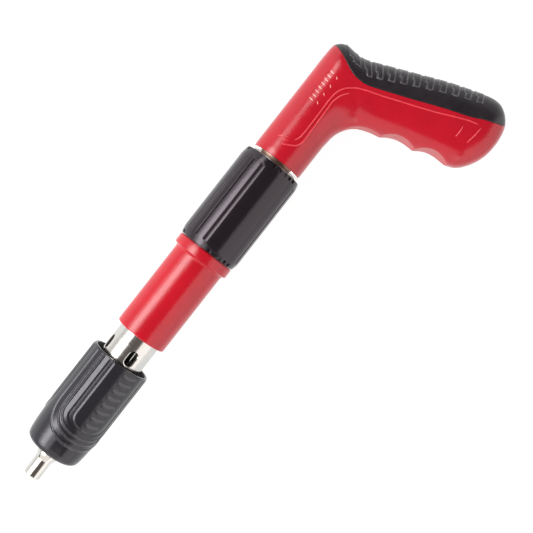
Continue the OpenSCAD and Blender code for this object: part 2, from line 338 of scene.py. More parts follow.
RED = moulded_plastic("red_plastic", (0.425, 0.0046, 0.0150), 0.16, 0.23, 0.20)
HANDLE_RED = moulded_plastic("handle_red", (0.392, 0.0043, 0.0150), 0.16, 0.23, 0.20)
# A satin red for the finger scallops: the satin finish is real, and its lighter, pinker tone is a painted
# sheen.
SATIN_SHEEN_RED = moulded_plastic("satin_sheen_red", (0.45, 0.015, 0.022), 0.34, 0.42, 0.20)
# A lighter red for the raised pinstripes: a painted highlight on their beads.
HIGHLIGHT_LINE_RED = moulded_plastic("highlight_line_red", (0.62, 0.040, 0.055), 0.16, 0.22, 0.08)
# Pale red for the bars and ticks: painted glints.
GLINT_PALE_RED = moulded_plastic("glint_pale_red", (0.84, 0.36, 0.33), 0.14, 0.20, 0.08)
COVER_BLACK = moulded_plastic("cover_black", (0.0152, 0.0146, 0.0180), 0.12, 0.19, 0.22, COOL_GLOSS)
# A lighter black for the cover's crests: painted sheen on its ribs and painted glints on its ridges.
CREST_SHEEN_BLACK = moulded_plastic("crest_sheen_black", (0.048, 0.048, 0.052), 0.24, 0.32, 0.20, COOL_GLOSS)
SLEEVE_BLACK = moulded_plastic("sleeve_black", (0.0085, 0.0066, 0.0090), 0.12, 0.18, 0.22, PURPLE_GLOSS)
# A darker black for the cover's bore and front face: painted shade in the cover's hollow.
CAVITY_SHADE_BLACK = moulded_plastic("cavity_shade_black", (0.006, 0.0055, 0.006), 0.55, 0.65, 0.20)
NYLON = moulded_plastic("nylon", (0.74, 0.71, 0.62), 0.42, 0.54, 0.15)
NICKEL = plated_steel("nickel", (0.61, 0.605, 0.58), 0.14, 0.22)
BRIGHT_NICKEL = plated_steel("bright_nickel", (0.64, 0.635, 0.605), 0.07, 0.13)
# Bright steel for the collar's sides: a painted glint.
COLLAR_GLINT_STEEL = plated_steel("collar_glint_steel", (0.92, 0.91, 0.89), 0.10, 0.16)
# Dark brown steel for the collar's top: painted shade and a painted reflection of the red and black beside
# it.
COLLAR_SHADE_STEEL = plated_steel("collar_shade_steel", (0.20, 0.13, 0.10), 0.26, 0.34)
# Dark, rough steel for the tube's bore: painted shade inside the tube, seen through the slots.
BORE_SHADE_STEEL = plated_steel("bore_shade_steel", (0.10, 0.085, 0.075), 0.42, 0.55)
STEEL = plated_steel("steel", (0.50, 0.49, 0.48), 0.22, 0.34)
SPRING = plated_steel("spring_steel", (0.42, 0.43, 0.45), 0.28, 0.40)
RUBBER = moulded_rubber("rubber", (0.0125, 0.0105, 0.0135), 0.24, 0.36)
# Lighter rubber for the tiles' outlines: a painted highlight on their edges.
EDGE_HIGHLIGHT_RUBBER = moulded_rubber("edge_highlight_rubber", (0.072, 0.072, 0.080), 0.24, 0.32)


# ---------------------------------------------------------------- front cover

COVER_FRONT, COVER_RIM = ends("front_cover")
COVER_R = 20.08
COVER_MOUTH = 7.4
COVER_BORE = 14.35
COVER_LIP_BORE = 18.5
COVER_TURNS = 456
COVER_WALL_STEP = 0.38
O_RING_S = sum(ends("cover_o_ring")) / 2
O_RING_GROOVE_R = 15
O_RING_GROOVE_HALF = 0.8

# A raised panel on each side, and the skew of its lower end in mm for each degree.
PANEL_CENTRES = (32.5, 212.5)
PANEL_SKEW = 0.02
# Nested U lines round each panel: half width in degrees, lowest station and rise.
PANEL_EDGE = (34.0, 46.2, 8.0)
CHANNEL_EDGE = (45.0, 44.7, 8.0)
RIDGES = ((57.5, 41.0, 14.0), (64.5, 37.4, 20.0), (78.5, 33.2, 24.0))
# The power of the U's bottom curve: 2 is an ellipse and more is squarer.
BOTTOM_POWER = 2.3
CHANNEL_DEPTH = 0.42
RIDGE_HALF_WIDTH = 0.8
RIDGE_HEIGHT = 0.44
# Each side's relief ends this many degrees from its panel's centre, and rises over the nose
# between these stations.
RELIEF_HALF_ANGLE = 90
RELIEF_RISE = (24, 30)
# Soft ribs across a panel: centre and half width in degrees, the stations between which they
# rise, their pitch, a crest's station before it is bowed, and the bow.
RIB_CENTRE = 6
RIB_HALF_ANGLE = 17
RIB_RISE = (46, 49)
RIB_PITCH = 5.4
RIB_CREST = 62
RIB_BOW = 0.8
RIB_HEIGHT = 0.13
# Crests painted lighter as a painted sheen: the least share of a rib's height, and a ridge's half width and
# last station.
SHEEN_SHARE = 0.35
SHEEN_HALF_WIDTH = 0.3
SHEEN_END = 60


def u_distance(d, s, half, low, rise):
    """Distance in mm from a U-shaped line, negative inside the U. d is in degrees."""
    x = np.abs(d) / half
    y = np.maximum((low + rise + PANEL_SKEW * d - s) / rise, 0)
    p = BOTTOM_POWER
    total = np.maximum(x**p + y**p, 1e-9)
    field = total ** (1 / p) - 1
    slope = total ** (1 / p - 1)
    width = math.radians(half) * COVER_R
    gradient = np.hypot(slope * x ** (p - 1) / width, slope * y ** (p - 1) / rise)
    return field / np.maximum(gradient, 1e-6)


def rib_wave(d, s):
    """-1 to 1 over the soft ribs across a raised panel, and 0 outside them. d is in degrees."""
    across = step(RIB_HALF_ANGLE - np.abs(d - RIB_CENTRE), 0, 7) * step(s, *RIB_RISE)
    bowed = s + RIB_BOW * np.cos(np.radians(d) * 6)
    return across * np.cos(2 * np.pi * (bowed - RIB_CREST) / RIB_PITCH)


def cover_relief(angle, s):
    """A channel round each raised panel, three ridges outside it and soft ribs across it."""
    height = np.zeros_like(angle)
    for centre in PANEL_CENTRES:
        d = wrap(angle - centre)
        panel = step(-u_distance(d, s, *PANEL_EDGE), -0.8, 0.6)
        channel = step(-u_distance(d, s, *CHANNEL_EDGE), -0.35, 0.35)
        here = CHANNEL_DEPTH * (panel - channel)
        for line in RIDGES:
            here += bead(u_distance(d, s, *line), RIDGE_HALF_WIDTH, RIDGE_HEIGHT)
        here += RIB_HEIGHT * rib_wave(d, s)
        height += np.where(np.abs(d) < RELIEF_HALF_ANGLE, here, 0)
    return height * step(COVER_RIM - s, 0.7, 1.6)


def crest_sheen(angle, s):
    """Whether a place on the cover is the crest of a rib or of a ridge, which is painted lighter as a painted
    sheen.
    """
    crest = np.zeros(np.broadcast(angle, s).shape, bool)
    for centre in PANEL_CENTRES:
        d = wrap(angle - centre)
        crest |= rib_wave(d, s) > SHEEN_SHARE
        on_this_side = (np.abs(d) < RELIEF_HALF_ANGLE) & (s < SHEEN_END)
        for line in RIDGES:
            crest |= (np.abs(u_distance(d, s, *line)) < SHEEN_HALF_WIDTH) & on_this_side
    return crest


def build_front_cover():
    """The black nose cover: moulded relief outside, a stepped bore and crests painted lighter as a painted
    sheen.
    """
    taper = [(17.1, 21), (18.3, 22.4), (18.95, 25), (19.25, 27.5), (19.5, 30), (19.85, 35), (COVER_R, 40)]
    nose = [(r, s, step(s, *RELIEF_RISE)) for r, s in dense(taper, 10)]
    wall = [(COVER_R, s, 1.0) for s in np.arange(40.3, COVER_RIM - 0.7, COVER_WALL_STEP)]
    rim = [
        (COVER_R, COVER_RIM - 0.45, 0), (19.95, COVER_RIM - 0.12, 0), (19.7, COVER_RIM, 0),
        (18.8, COVER_RIM, 0), (COVER_LIP_BORE, COVER_RIM - 0.3, 0),
    ]
    inside = [
        (COVER_LIP_BORE, 80, 0), (COVER_LIP_BORE, 66, 0), (COVER_BORE, 62, 0),
        (COVER_BORE, O_RING_S + O_RING_GROOVE_HALF, 0), (O_RING_GROOVE_R, O_RING_S + O_RING_GROOVE_HALF, 0),
        (O_RING_GROOVE_R, O_RING_S - O_RING_GROOVE_HALF, 0), (COVER_BORE, O_RING_S - O_RING_GROOVE_HALF, 0),
        (COVER_BORE, 24, 0), (COVER_MOUTH, 24, 0),
    ]
    face = [(COVER_MOUTH, COVER_FRONT + 0.4, 0), (COVER_MOUTH + 0.4, COVER_FRONT, 0), (16.4, COVER_FRONT, 0)]
    outline = nose + wall + rim + inside + face
    mesh = lathe("front_cover_moulded", outline, COVER_TURNS, 50, cover_relief)
    cover = dress(link("front_cover_moulded", mesh), COVER_BLACK, "nose", "front_cover")
    # The bore and the front face take the darker black, as painted shade.
    hidden = np.arange(len(outline)) >= len(nose + wall + rim) - 1
    further_material(cover, CAVITY_SHADE_BLACK, np.tile(hidden, COVER_TURNS))
    station = np.array([row[1] for row in outline])
    angle = np.arange(COVER_TURNS)[:, None] * 360 / COVER_TURNS
    # The crests of the ribs and ridges take the lighter black, as a painted sheen.
    further_material(cover, CREST_SHEEN_BLACK, (crest_sheen(angle, station) & ~hidden).ravel())


# ---------------------------------------------------------------- twist sleeve

SLEEVE_FRONT, SLEEVE_REAR = ends("lock_sleeve")
SLEEVE_MID = (SLEEVE_FRONT + SLEEVE_REAR) / 2
SLEEVE_R = 20.95
SLEEVE_BORE = 19.12
SLEEVE_TURNS = 480
# Three lowered zones, each with three long grooves that have round ends.
GRIP_CENTRES = (-31, 89, 209)
GRIP_HALF_ANGLE = 23.8
GRIP_DEPTH = 0.13
GROOVE_PITCH = 18.3
GROOVE_HALF_WIDTH = 1.0
GROOVE_HALF_LENGTH = 28.6
GROOVE_DEPTH = 0.9
# Five notches at each rim of the three plain lands between the zones.
LAND_CENTRES = (30.5, 150.5, 270.5)
NOTCH_PITCH = 12.2
NOTCH_STATIONS = (181.1, 246.6)
NOTCH_HALF_WIDTH = 1.0
NOTCH_HALF_LENGTH = 1.05
NOTCH_DEPTH = 1.1


def sleeve_relief(angle, s):
    """Three lowered zones with three long grooves each, and rim notches on the lands between."""
    per_degree = math.radians(1) * SLEEVE_R
    from_middle = np.abs(s - SLEEVE_MID)
    beyond = np.maximum(from_middle - GROOVE_HALF_LENGTH, 0)
    height = np.zeros_like(angle)
    for centre in GRIP_CENTRES:
        d = wrap(angle - centre)
        for k in (-1, 0, 1):
            line = np.hypot((d - k * GROOVE_PITCH) * per_degree, beyond)
            height += bead(line, GROOVE_HALF_WIDTH, -GROOVE_DEPTH)
        inside = step((GRIP_HALF_ANGLE - np.abs(d)) * per_degree, -0.3, 0.3)
        height -= GRIP_DEPTH * inside * step(GROOVE_HALF_LENGTH + 0.5 - from_middle, -1, 1)
    for centre in LAND_CENTRES:
        for k in range(-2, 3):
            across = np.abs(wrap(angle - centre - k * NOTCH_PITCH)) * per_degree
            within = step(NOTCH_HALF_WIDTH - across, -0.15, 0.15)
            for middle in NOTCH_STATIONS:
                along = np.abs(s - middle)
                height -= NOTCH_DEPTH * within * step(NOTCH_HALF_LENGTH - along, -0.15, 0.15)
    return height


def build_lock_sleeve():
    """The black twist sleeve, with bevelled rims."""
    end = [(19.75, 179.95), (19.95, 180.4), (20.15, 181.2), (20.45, 182.4), (20.75, 183.8), (SLEEVE_R, 185.6)]
    front = [(r, s, 1.0) for r, s in dense(end, 8)]
    middle = [(SLEEVE_R, s, 1.0) for s in np.arange(186.0, 241.9, 0.6)]
    rear = [(r, 2 * SLEEVE_MID - s, 1.0) for r, s, _ in reversed(front)]
    rear_face = [(19.5, SLEEVE_REAR, 0), (SLEEVE_BORE, SLEEVE_REAR - 0.2, 0)]
    front_face = [(SLEEVE_BORE, SLEEVE_FRONT + 0.2, 0), (19.5, SLEEVE_FRONT, 0)]
    outline = front + middle + rear + rear_face + front_face
    mesh = lathe("lock_sleeve_moulded", outline, SLEEVE_TURNS, 50, sleeve_relief)
    sleeve = link("lock_sleeve_moulded", mesh)
    dress(sleeve, SLEEVE_BLACK, "lock_sleeve", "lock_sleeve")


# ---------------------------------------------------------------- red and metal barrel pieces


def build_outer_tube():
    """The red tube, with a rolled front lip, a flange behind and a spigot inside the sleeve."""
    front, rear = ends("outer_tube")
    bore, tube, flange = 15.5, 17.5, 19.75
    profile = [
        (14.6, 112.0), (16.6, front), (17.1, 112.05), (17.4, 112.4), (tube, 112.9), (tube, 113.2),
        (tube, 170.1), (tube, 170.4), (17.55, 171.0), (17.75, 171.7), (18.15, 172.25), (18.8, 172.6),
        (19.3, 172.8), (19.6, 173.1), (flange, 173.7), (flange, 178.5), (19.6, 179.0), (19.2, 179.3),
        (17, 179.3), (17, rear), (bore, rear), (bore, 113.4), (14.6, 113.4),
    ]
    mesh = lathe("outer_tube_moulded", profile, 256, 30)
    dress(link("outer_tube_moulded", mesh), RED, "handle", "outer_tube")


# Within this many degrees of its top the collar is painted dark brown, as painted shade from the parts beside
# it with a painted reflection of their red and black; its sides take a bright steel as a painted glint.
COLLAR_SHADE_ANGLE = 40
COLLAR_TURNS = 192


def build_collar_ring():
    """The thin steel collar behind the sleeve, painted dark brown on top as painted shade and bright at its
    sides as a painted glint.
    """
    front, rear = ends("collar_ring")
    profile = [
        (15.02, front), (16.2, front), (16.5, 248.6), (16.75, 249.3), (16.95, 249.9), (17.3, 250.1),
        (17.4, 250.4), (17.4, 250.9), (17.2, rear), (15.8, rear), (15.8, 249.1), (15.02, 249.1),
    ]
    mesh = lathe("collar_ring_turned", profile, COLLAR_TURNS, 30)
    collar = dress(link("collar_ring_turned", mesh), COLLAR_SHADE_STEEL, "handle", "collar_ring")
    glint_sides = np.abs(wrap(np.arange(COLLAR_TURNS) * 360 / COLLAR_TURNS)) > COLLAR_SHADE_ANGLE
    further_material(collar, COLLAR_GLINT_STEEL, np.repeat(glint_sides, len(profile)))


TUBE_R = 14.25
TUBE_BORE = 12.5
# Four obround slots with a chamfered edge, each in a square patch of the tube.
SLOT_S = 98.05
SLOT_ANGLES = (22.3, 112.3, 202.3, 292.3)
SLOT_HALF_WIDTH = 3.0
SLOT_HALF_STRAIGHT = 2.0
SLOT_CHAMFER = 0.55
SLOT_CHAMFER_DEPTH = 0.45
SLOT_POINTS = 96
PATCH_HALF_LENGTH = 7.2
PATCH_HALF_TURN = math.pi / 4


def slot_edge(k, grow):
    """Point k round a slot that is grown by grow, as (radians round, mm along) from its centre."""
    turn = 2 * math.pi * k / SLOT_POINTS
    along = math.cos(turn)
    r = SLOT_HALF_WIDTH + grow
    shift = SLOT_HALF_STRAIGHT * math.copysign(min(1, abs(along) * 3), along)
    return math.sin(turn) * r / TUBE_R, along * r + shift


def slot_frame(k):
    """Point k round the patch that holds a slot, as (radians round, mm along) from its centre."""
    turn = 8 * k / SLOT_POINTS + 1
    side, part = int((turn % 8) // 2), turn % 2 - 1
    across, along = ((part, 1), (1, -part), (-part, -1), (-1, part))[side]
    return across * PATCH_HALF_TURN, along * PATCH_HALF_LENGTH


def slot_ring(bm, angle, layer, radius, grow):
    """A loop of vertices round a slot. Layer 0 is the slot's edge and 1 the patch's frame."""
    ring = []
    for k in range(SLOT_POINTS):
        inner, outer = slot_edge(k, grow), slot_frame(k)
        turn = inner[0] + (outer[0] - inner[0]) * layer
        along = inner[1] + (outer[1] - inner[1]) * layer
        ring.append(bm.verts.new(place(radius, math.radians(angle) + turn, SLOT_S + along)))
    return ring


def plain_ring(bm, radius, s):
    """A loop of vertices round the tube, which meets the patches' corners."""
    start = math.radians(SLOT_ANGLES[0]) + PATCH_HALF_TURN
    turns = start + 2 * math.pi * np.arange(SLOT_POINTS) / SLOT_POINTS
    return [bm.verts.new(point) for point in place(radius, turns, s)]


def build_nose_tube():
    """The steel tube: a patch round each chamfered slot, plain bands before and behind, and a bore painted
    dark as painted shade.
    """
    bm = bmesh.new()
    for angle in SLOT_ANGLES:
        loops = [slot_ring(bm, angle, layer, TUBE_BORE, 0) for layer in (1, 0.6, 0.3, 0)]
        loops.append(slot_ring(bm, angle, 0, TUBE_R - SLOT_CHAMFER_DEPTH, 0))
        loops += [slot_ring(bm, angle, layer, TUBE_R, SLOT_CHAMFER) for layer in (0, 0.15, 0.4, 0.7, 1)]
        bridge(bm, loops)

    front, rear = ends("nose_tube")
    groove_front, groove_rear = O_RING_S - O_RING_GROOVE_HALF, O_RING_S + O_RING_GROOVE_HALF
    front_band = [
        (TUBE_BORE, front), (TUBE_R - 0.3, front), (TUBE_R, front + 0.3), (TUBE_R, groove_front),
        (13.45, groove_front), (13.45, groove_rear), (TUBE_R, groove_rear),
    ]
    rear_band = [
        (TUBE_BORE, rear), (15.2, rear), (15.4, rear - 0.2), (15.4, 124.2), (15.2, 124), (TUBE_R, 124),
    ]
    for join, band in ((SLOT_S - PATCH_HALF_LENGTH, front_band), (SLOT_S + PATCH_HALF_LENGTH, rear_band)):
        bridge(bm, [plain_ring(bm, r, s) for r, s in [(TUBE_BORE, join), *band, (TUBE_R, join)]])
    bmesh.ops.remove_doubles(bm, verts=bm.verts, dist=2e-6)
    mesh = mesh_from(bm, "nose_tube_turned", 30)
    tube = dress(link("nose_tube_turned", mesh), NICKEL, "nose", "nose_tube")
    # The bore's faces take the dark steel, as painted shade.
    bore_limit = (TUBE_BORE + 1.0) * MM
    in_bore = [math.hypot(face.center.y, face.center.z) < bore_limit for face in mesh.polygons]
    further_material(tube, BORE_SHADE_STEEL, in_bore)


def build_nozzle():
    """The bright nozzle: a slim tip, a cone, and a stepped shank hidden in the cover."""
    front, rear = ends("nozzle")
    bore, tip, shank = 3.2, 5.7, 7.1
    profile = [
        (3.6, front), (4.9, front), (5.35, 0.15), (5.62, 0.5), (tip, 1.0), (tip, 1.2), (tip, 12.6),
        (tip, 12.8), (5.78, 13.2), (6.9, 15.7), (shank, 16.2), (shank, 24.2), (9.5, 24.2), (9.5, 30),
        (6.4, 30), (6.4, rear), (3.1, rear), (3.1, 34), (4.1, 34), (4.1, 32), (bore, 32), (bore, 0.4),
    ]
    mesh = lathe("nozzle_turned", profile, 128, 25)
    dress(link("nozzle_turned", mesh), BRIGHT_NICKEL, "nose", "nozzle")


# The gap between a spring's end and its seat.
SEAT_GAP = 0.02


def coil(node, r_mid, wire, front_seat, rear_seat, coils):
    """A ground-ended coil spring between its front and rear seats."""
    per_turn, sides = 40, 12
    start, end = front_seat + SEAT_GAP, rear_seat - SEAT_GAP
    dead = wire * 1.02
    span = end - start - wire
    live = (span - 2 * dead) / (coils - 2)
    t = np.arange(coils * per_turn + 1) / per_turn
    rise = np.where(t < 1, t * dead, dead + live * (t - 1))
    rise = np.where(t > coils - 1, span - (coils - t) * dead, rise)
    b = np.arange(sides) * 2 * np.pi / sides
    r = r_mid + wire / 2 * np.cos(b)[None, :] + 0 * t[:, None]
    s = start + wire / 2 + rise[:, None] + wire / 2 * np.sin(b)[None, :]
    points = place(r, 2 * np.pi * t[:, None], s)
    name = node + "_coil"
    spring = dress(link(name, grid_mesh(name, points, 60)), SPRING, "handle", node)
    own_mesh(spring)


# ---------------------------------------------------------------- handle

# Rows along the handle: back point (u, s), front point (u, s), half thickness and the share
# of the chord, from the back, that the rubber pad covers. A place q along the handle counts
# these rows, so that q = 9.5 is halfway between the rows 9 and 10.
HANDLE_ROWS = np.array([
    (-17.5, 251.1, 17.5, 251.1, 17.5, 0),
    (-17.5, 270, 17.5, 265, 17.5, 0),
    (-17.5, 290, 17.5, 276, 17.5, 0),
    (-17.5, 308, 18.2, 284, 17.5, 0),
    (-17.5, 322, 20.3, 290.6, 17.4, 0),
    (-16.6, 331, 23.9, 295, 17.2, 0.02),
    (-11.5, 335.6, 27.5, 297.9, 17, 0.36),
    (-3, 335.3, 30.5, 299.5, 17, 0.413),
    (5, 335.9, 33.5, 300.8, 17, 0.418),
    (18.4, 341.3, 38.5, 302.6, 17, 0.424),
    (36.5, 349, 51.5, 306.7, 17, 0.424),
    (54.7, 356.7, 69.7, 311.4, 17.2, 0.405),
    (72.8, 363, 85.5, 315.2, 17.4, 0.386),
    (82, 365.8, 92.5, 318.6, 17, 0.365),
    (89, 365.7, 98, 325.5, 15.8, 0.36),
    (95, 362.3, 101.3, 333.5, 13, 0.30),
    (99.5, 357, 102.3, 341.5, 8, 0.10),
    (101.6, 351.5, 102.2, 347, 2.5, 0),
])
STRAIGHT_ROWS = 3
# The pad's opening starts and ends at these q and is rounded over PAD_ROUND at both.
PAD_START, PAD_END = 4.92, 16.36
PAD_ROUND = 0.35
PAD_THICK = 1.8
SHELL_WALL = 2.3
# The mould seam: its half width as a share of a shell's section, and its depth.
SEAM_HALF_WIDTH = 0.012
SEAM_DEPTH = 0.10
# Finger scallops on the front: the u of the cusps, and each scallop's depth.
CUSPS = (20.25, 42.0, 63.75, 85.5)
SCALLOP_DEPTHS = (1.6, 3.5, 3.9)


def places(*spans):
    """Places q along the handle, from (first, last, count) spans."""
    return np.concatenate([np.linspace(*span) for span in spans])


# Places are closer together at both ends of the pad's opening and along the tiles and scallops.
SHELL_PLACES = np.concatenate([
    [0, 0.04, 0.1],
    places((0.25, 4, 22), (4.15, 4.9, 8), (4.925, 5.6, 24), (5.65, 8.5, 42), (8.55, 13, 116),
           (13.06, 15.7, 44), (15.73, 16.34, 18), (16.38, 17, 10)),
])
SHELL_COLUMNS = 72
PAD_PLACES = places((4.95, 5.6, 26), (5.63, 8.5, 84), (8.53, 13, 180), (13.04, 15.7, 74), (15.73, 16.32, 16))
PAD_COLUMNS = 181
PAD_INNER_COLUMNS = 41


def handle_row(q):
    """Interpolated control rows at the places q, straight along the barrel part."""
    smooth = catmull(HANDLE_ROWS, q)
    i = np.clip(np.floor(q).astype(int), 0, len(HANDLE_ROWS) - 2)
    f = (q - i)[:, None]
    straight = HANDLE_ROWS[i] * (1 - f) + HANDLE_ROWS[i + 1] * f
    rows = np.where(q[:, None] < STRAIGHT_ROWS, straight, smooth)
    opening = np.sqrt(np.clip(np.minimum(q - PAD_START, PAD_END - q) / PAD_ROUND, 0, 1))
    rows[:, 5] = np.maximum(rows[:, 5], 0.02) * opening
    return rows


def squareness(q):
    """The power of a section's curve: 2, an ellipse, along the barrel and squarer in the grip."""
    return 2 + 0.4 * np.clip((q - 4) / 5, 0, 1)


def scallop(u):
    """How far the front is scooped out at u, with a cusp between fingers."""
    depth = np.zeros_like(u)
    for k, deep in enumerate(SCALLOP_DEPTHS):
        t = np.clip((u - CUSPS[k]) / (CUSPS[k + 1] - CUSPS[k]), 0, 1)
        depth += deep * 4 * t * (1 - t)
    return depth


def pad_angle(q):
    """Section angle, in radians, at which the pad ends on each side."""
    share = handle_row(q)[:, 5]
    return np.arccos(np.clip(1 - 2 * share, -1, 1) ** (squareness(q) / 2))


def skin(q, phi, inset=0.0):
    """Handle surface points as (u, s, z), at places q and section angles phi in radians.

    A section runs from its back point, at phi = 0, over the flank to its front point, at pi.
    """
    rows = handle_row(q)
    back, front, thick = rows[:, 0:2], rows[:, 2:4], rows[:, 4]
    chord = back - front
    length = np.linalg.norm(chord, axis=1)
    direction = chord / length[:, None]
    power = (2 / squareness(q))[:, None]
    a = np.maximum(length / 2 - inset, 0.05)[:, None]
    t = np.maximum(thick - inset, 0.05)[:, None]
    c, v = np.cos(phi), np.sin(phi)
    along = np.sign(c) * a * np.abs(c) ** power
    z = np.sign(v) * t * np.abs(v) ** power
    depth = scallop(front[:, 0])[:, None]
    limit = -a + depth
    soft = 0.02 + 0.3 * np.clip(depth, 0, 1)
    along = limit + soft * np.logaddexp(0, (along - limit) / soft)
    middle = (back + front) / 2
    u = middle[:, 0:1] + along * direction[:, 0:1]
    s = middle[:, 1:2] + along * direction[:, 1:2]
    return np.stack([u, s, z], axis=-1)


def to_row(points):
    """(u, s, z) to row-frame metres."""
    return np.stack([-points[..., 1], points[..., 0], points[..., 2]], axis=-1) * MM


def in_scallop(face):
    """Whether a shell's face lies in a finger scallop, which faces forward and has a satin finish with a
    lighter, pinker tone that is a painted sheen.
    """
    within = CUSPS[0] < face.center.y / MM < CUSPS[-1]
    return within and face.normal.x > 0.4 and abs(face.normal.z) < 0.3


def build_shell(side, node):
    """One half shell, from the pad's edge (or the back seam) round to the front seam."""
    q = SHELL_PLACES
    v = np.linspace(0, 1, SHELL_COLUMNS)
    edge = np.where((q > PAD_START) & (q < PAD_END), pad_angle(q), 0)
    phi = edge[:, None] + (math.pi - edge[:, None]) * v
    end_bevel = np.where(q[:, None] < 0.06, 0.25, 0)
    inset = end_bevel + bead(v - 1, SEAM_HALF_WIDTH, SEAM_DEPTH) + bead(v, SEAM_HALF_WIDTH, SEAM_DEPTH)
    outer = skin(q, phi)
    toward = outer.mean(axis=1, keepdims=True) - outer
    toward /= np.maximum(np.linalg.norm(toward, axis=2, keepdims=True), 1e-6)
    outer = outer + toward * inset[..., None]
    inner = skin(q, phi, SHELL_WALL)
    loops = np.concatenate([outer, inner[:, ::-1]], axis=1)
    loops[..., 2] *= side
    name = node + "_moulded"
    mesh = grid_mesh(name, to_row(loops), 38)
    shell = dress(link(name, mesh), HANDLE_RED, "handle", node)
    # The forward-facing scallop faces take the satin red, whose lighter tone is a painted sheen.
    further_material(shell, SATIN_SHEEN_RED, [in_scallop(face) for face in mesh.polygons])
    return shell


# Tread tiles: u on the back line, half width, and how far the tile's shorter and longer parts
# reach down the flanks. The first tile lies in the dish behind the barrel.
TILE_STATIONS = [4.4 + 7.7 * k for k in range(10)]
PAD_TILES = [(-6.1, 4.9, 17.4, 20.2)] + [(u, 2.75, 18.4 - 0.062 * u, 22.9 - 0.062 * u) for u in TILE_STATIONS]
TILE_HEIGHT = 0.34
TILE_CORNER = 1.1
# The longer part's width, as a share of the tile's.
LONGER_SHARE = 0.78
# A slightly raised outline just inside each tile's edge, painted a lighter grey as a painted highlight.
OUTLINE_INSET = 0.55
OUTLINE_HEIGHT = 0.14


def box_distance(along, across, half, reach):
    """Signed distance, in mm, from a round-cornered strip along +-half that ends at reach."""
    x = np.abs(along) - half + TILE_CORNER
    y = across - reach + TILE_CORNER
    return np.hypot(np.maximum(x, 0), np.maximum(y, 0)) + np.minimum(np.maximum(x, y), 0) - TILE_CORNER


def tile_distance(u, across):
    """Signed distance from the nearest tread tile, a stepped shape that is longer on its +u side."""
    nearest = np.full(across.shape, 9.0)
    lean = 0.8 * np.clip(across - 4, 0, 16) / 16
    for middle, half, short, long in PAD_TILES:
        along = u - middle - lean
        whole = box_distance(along, across, half, short)
        longer = box_distance(along - (1 - LONGER_SHARE) * half, across, LONGER_SHARE * half, long)
        nearest = np.minimum(nearest, np.minimum(whole, longer))
    return nearest


def build_pad():
    """The rubber pad: a curved strip with outlined tread tiles and a rolled edge."""
    q = PAD_PLACES
    half = pad_angle(q)[:, None]
    phi = half * np.linspace(-1, 1, PAD_COLUMNS)
    surface = skin(q, phi)
    gap = np.linalg.norm(np.diff(surface, axis=1), axis=2)
    run = np.concatenate([np.zeros((len(q), 1)), np.cumsum(gap, axis=1)], axis=1)
    centre = PAD_COLUMNS // 2
    across = np.abs(run - run[:, centre:centre + 1])
    from_edge = run[:, -1:] / 2 - across
    back_u = surface[:, centre:centre + 1, 0] + 0 * across
    tile = tile_distance(back_u, across)
    inland = step(from_edge, 0.8, 2.0)
    outline = bead(tile + OUTLINE_INSET, 0.5, OUTLINE_HEIGHT)
    rolled = 0.42 * (1 - np.clip(from_edge / 0.9, 0, 1)) ** 2
    lift = 0.10 + (TILE_HEIGHT * step(-tile, -0.15, 0.2) + outline) * inland - rolled
    normal = np.cross(np.gradient(surface, axis=1), np.gradient(surface, axis=0))
    normal /= np.maximum(np.linalg.norm(normal, axis=2, keepdims=True), 1e-9)
    outward = np.sign(np.sum(normal * (surface - skin(q, phi, 6.0)), axis=2, keepdims=True))
    outer = surface + normal * outward * lift[..., None]
    inner = skin(q, half * np.linspace(-1, 1, PAD_INNER_COLUMNS), PAD_THICK)
    loops = np.concatenate([outer, inner[:, ::-1]], axis=1)
    mesh = grid_mesh("grip_pad_moulded", to_row(loops), 60)
    pad = dress(link("grip_pad_moulded", mesh), RUBBER, "handle", "grip_pad")
    # The tiles' outlines take the lighter rubber, as a painted highlight.
    edge_highlit = np.zeros(loops.shape[:2], bool)
    edge_highlit[:, :PAD_COLUMNS] = (np.abs(tile + OUTLINE_INSET) < 0.34) & (inland > 0.5)
    further_material(pad, EDGE_HIGHLIGHT_RUBBER, edge_highlit[:-1].ravel())


# ---------------------------------------------------------------- raised lines on the shells

# Raised pinstripes on each flank as (u, s) paths: the long outer line, its hook at the grip's
# end and the short line beside that, the inner line, and two short strokes near the collar.
LINE_OUTER = (
    (1.6, 266.5), (3.3, 270), (3.6, 275), (3.5, 287), (3.2, 297), (3.4, 304), (4.7, 308.2), (7.1, 311.8),
    (11.9, 315.6), (17.7, 318.1), (28, 321.6), (37, 325.1), (50, 330), (60, 334), (69.4, 338.3),
    (79, 342.4), (84.9, 343.9),
)
LINE_END = ((87.3, 343.4), (87.1, 338), (86, 330.8))
LINE_INNER = (
    (-3.2, 260.1), (0.9, 262.3), (4.8, 264.9), (6.3, 268), (6.5, 270.2), (6, 283.4), (5.5, 300.5),
    (6.9, 305.4), (8.6, 308.2), (10.9, 310.8),
)
LINE_SHORT = ((77.8, 337.5), (78.4, 333.4), (78.2, 329.2))
STROKE_LONG = ((-9.1, 262.8), (-2.8, 266))
STROKE_SHORT = ((-5.5, 262), (-1, 264.3))
FLANK_LINES = (LINE_OUTER, LINE_END, LINE_INNER, LINE_SHORT, STROKE_LONG, STROKE_SHORT)
LINE_HALF_WIDTH = 0.48
LINE_HEIGHT = 0.48
# Nearer the back, a row of short raised bars, and a row of shorter ticks beside it, both painted pale as
# painted glints.
BARS = [((-7.4, s + 0.4), (-4.4, s - 0.2)) for s in range(293, 317, 3)]
TICKS = [((-2.1, 294.3 + 6.4 * k), (-0.6, 292.8 + 6.4 * k)) for k in range(4)]
BAR_HALF_WIDTH = 0.8
TICK_HALF_WIDTH = 0.6
BAR_HEIGHT = 0.55
BEAD_SIDES = 8
BEAD_SINK = 0.02
PATH_SPACING = 0.8
PATH_CORNER = 1.6


